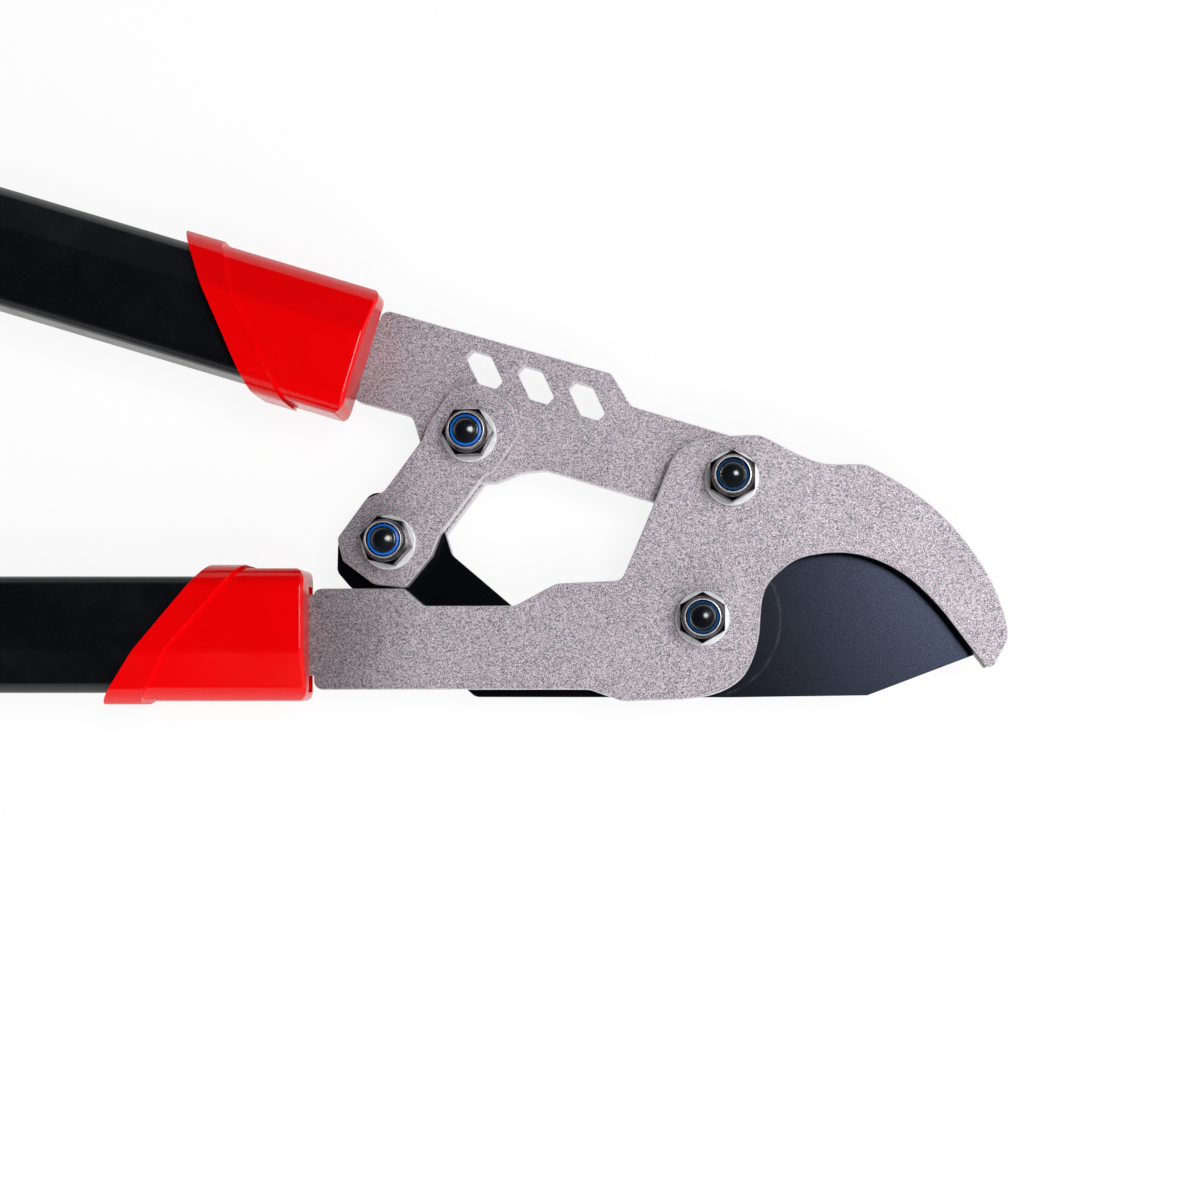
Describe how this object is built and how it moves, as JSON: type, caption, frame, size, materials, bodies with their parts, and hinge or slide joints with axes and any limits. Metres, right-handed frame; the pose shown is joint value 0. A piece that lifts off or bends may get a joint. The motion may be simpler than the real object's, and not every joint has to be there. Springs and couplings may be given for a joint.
{
  "type": "telescopic bypass lopper",
  "caption": "Two-handed bypass lopper: hooked jaw and coated blade driven by a compound linkage, telescopic tube handles with slanted plastic collars and cam locks.",
  "frame": {"origin": "middle of the underside of the bounding box, tool lying flat and closed, handles pushed in", "axes": "+X along the lower handle to the jaw, +Y across to the upper handle, +Z out of the side that carries the nuts"},
  "size_m": [0.6926, 0.2716, 0.0327],
  "materials": {
    "hammered_grey": "hammered grey powder coat on steel plate",
    "blade_black": "low-friction blue-black coating on steel",
    "zinc": "bright zinc plate",
    "black_steel": "black oxide on steel",
    "blue_nylon": "blue nylon insert",
    "red_plastic": "glossy moulded red plastic",
    "black_tube": "black coated aluminium tube",
    "grey_nylon": "plain moulded nylon",
    "black_rubber": "soft matt rubber"
  },
  "bodies": {
    "lower_handle": {"blade_pivot_bolt": "black_steel", "blade_pivot_front_washer": "zinc", "blade_pivot_insert": "blue_nylon", "blade_pivot_nut": "black_steel", "blade_pivot_rear_washer": "zinc", "handle_pivot_bolt": "black_steel", "handle_pivot_front_washer": "zinc", "handle_pivot_insert": "blue_nylon", "handle_pivot_nut": "black_steel", "handle_pivot_rear_washer": "zinc", "hook_plate": "hammered_grey", "lower_brake_pad": "black_rubber", "lower_collar": "red_plastic", "lower_front_rivet": "zinc", "lower_lever_pin": "zinc", "lower_lock_sleeve": "red_plastic", "lower_outer_tube": "black_tube", "lower_rear_rivet": "zinc", "lower_tang_insert": "grey_nylon"},
    "upper_handle": {"upper_brake_pad": "black_rubber", "upper_collar": "red_plastic", "upper_front_rivet": "zinc", "upper_lever_pin": "zinc", "upper_lock_sleeve": "red_plastic", "upper_outer_tube": "black_tube", "upper_rear_rivet": "zinc", "upper_tang": "hammered_grey", "upper_tang_insert": "grey_nylon"},
    "blade": {"blade": "blade_black"},
    "link": {"front_link": "hammered_grey", "rear_link": "hammered_grey", "tail_pivot_bolt": "black_steel", "tail_pivot_front_washer": "zinc", "tail_pivot_insert": "blue_nylon", "tail_pivot_nut": "zinc", "tail_pivot_rear_washer": "zinc", "tang_pivot_bolt": "black_steel", "tang_pivot_front_washer": "zinc", "tang_pivot_insert": "blue_nylon", "tang_pivot_nut": "zinc", "tang_pivot_rear_washer": "zinc"},
    "lower_grip": {"lower_end_cap": "black_rubber", "lower_glide": "grey_nylon", "lower_grip_core": "red_plastic", "lower_grip_sleeve": "black_rubber", "lower_inner_tube": "black_tube"},
    "upper_grip": {"upper_end_cap": "black_rubber", "upper_glide": "grey_nylon", "upper_grip_core": "red_plastic", "upper_grip_sleeve": "black_rubber", "upper_inner_tube": "black_tube"},
    "lower_lever": {"lower_lock_lever": "black_tube"},
    "upper_lever": {"upper_lock_lever": "black_tube"}
  },
  "joints": [
    {"name": "handle_pivot", "type": "hinge", "parent": "lower_handle", "child": "upper_handle", "pos_m": [0.26493, -0.05802, 0.0138], "axis": [0, 0, -1], "range_deg": [0, 103]},
    {"name": "blade_pivot", "type": "hinge", "parent": "lower_handle", "child": "blade", "pos_m": [0.25622, -0.09912, 0.0138], "axis": [0, 0, -1], "range_deg": [0, 79.5]},
    {"name": "link_pivot", "type": "hinge", "parent": "blade", "child": "link", "pos_m": [0.16403, -0.07672, 0.0138], "axis": [0, 0, 1], "range_deg": [0, 57.9]},
    {"name": "lower_slide", "type": "slide", "parent": "lower_handle", "child": "lower_grip", "axis": [-1, 0, 0], "range_m": [0, 0.2]},
    {"name": "upper_slide", "type": "slide", "parent": "upper_handle", "child": "upper_grip", "axis": [-0.9583, 0.2857, 0], "range_m": [0, 0.2]},
    {"name": "lower_lever_hinge", "type": "hinge", "parent": "lower_handle", "child": "lower_lever", "pos_m": [-0.14747, -0.12932, 0.0162], "axis": [0, 0, -1], "range_deg": [0, 100]},
    {"name": "upper_lever_hinge", "type": "hinge", "parent": "upper_handle", "child": "upper_lever", "pos_m": [-0.11192, 0.0852, 0.0162], "axis": [0, 0, 1], "range_deg": [0, 100]}
  ],
  "couplings": [
    {"joint": "blade_pivot", "follows": "handle_pivot", "ratio": 0.77},
    {"joint": "link_pivot", "follows": "handle_pivot", "ratio": 0.56}
  ]
}
